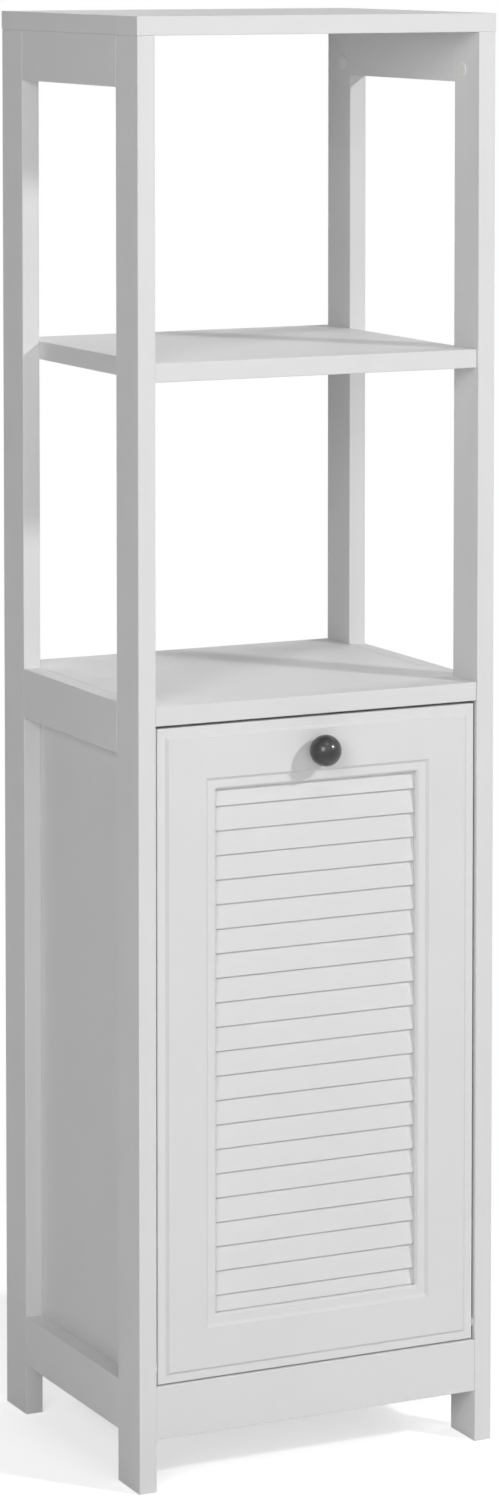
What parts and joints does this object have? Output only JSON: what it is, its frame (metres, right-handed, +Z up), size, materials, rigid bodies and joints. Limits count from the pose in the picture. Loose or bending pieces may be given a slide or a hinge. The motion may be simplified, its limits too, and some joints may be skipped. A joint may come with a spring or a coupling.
{
  "type": "tall bathroom cabinet",
  "caption": "Tall narrow bathroom cabinet: open shelves in a post-and-rail frame above a closed base with a louvred tilt-out laundry door and ball knob.",
  "frame": {"origin": "middle of the bounding box's floor print, knob included, on the floor", "axes": "+Z up; the front, with the door and its knob, faces -Y; +X is to the right of someone who looks at the front from -Y"},
  "size_m": [0.4, 0.366, 1.47],
  "materials": {
    "white_paint": "satin white paint on fibreboard",
    "back_board": "white-faced hardboard",
    "black_knob": "satin black",
    "zinc_steel": "zinc plated",
    "magnet_steel": "nickel plated",
    "bare_beech": "bare",
    "white_plastic": "moulded white",
    "white_wire": "white powder coat",
    "bag_cloth": "plain woven cotton"
  },
  "bodies": {
    "cabinet": {"back_bottom_rail": "white_paint", "back_left_post": "white_paint", "back_panel": "back_board", "back_panel_screws": "zinc_steel", "back_right_post": "white_paint", "bottom_left_rail": "white_paint", "bottom_panel": "white_paint", "bottom_right_rail": "white_paint", "cabinet_top_shelf": "white_paint", "cam_bolts": "zinc_steel", "cam_locks": "zinc_steel", "catch_body": "white_plastic", "catch_magnet": "magnet_steel", "catch_screws": "zinc_steel", "cover_caps": "white_plastic", "dowels": "bare_beech", "front_bottom_rail": "white_paint", "front_left_post": "white_paint", "front_right_post": "white_paint", "left_side_panel": "white_paint", "middle_shelf": "white_paint", "pivot_bushes": "white_plastic", "right_side_panel": "white_paint", "shelf_left_rail": "white_paint", "shelf_right_rail": "white_paint", "side_panel_screws": "zinc_steel", "stop_screws": "zinc_steel", "top_board": "white_paint", "top_board_screws": "zinc_steel", "top_left_rail": "white_paint", "top_right_rail": "white_paint"},
    "hamper_door": {"door_left_stile": "white_paint", "door_right_stile": "white_paint", "door_top_rail": "white_paint", "door_bottom_rail": "white_paint", "door_dowels": "bare_beech", "louver_slats": "white_paint", "knob": "black_knob", "knob_screw": "zinc_steel", "pivot_pins": "zinc_steel", "strike_plate": "zinc_steel", "strike_screw": "zinc_steel", "left_stay": "zinc_steel", "right_stay": "zinc_steel", "stay_screws": "zinc_steel", "bag_frame": "white_wire", "bag_frame_clips": "white_wire", "clip_screws": "zinc_steel", "laundry_bag": "bag_cloth"}
  },
  "joints": [
    {"name": "door_tilt", "type": "hinge", "parent": "cabinet", "child": "hamper_door", "pos_m": [0, -0.1444, 0.124], "axis": [1, 0, 0], "range_deg": [0, 36]}
  ]
}
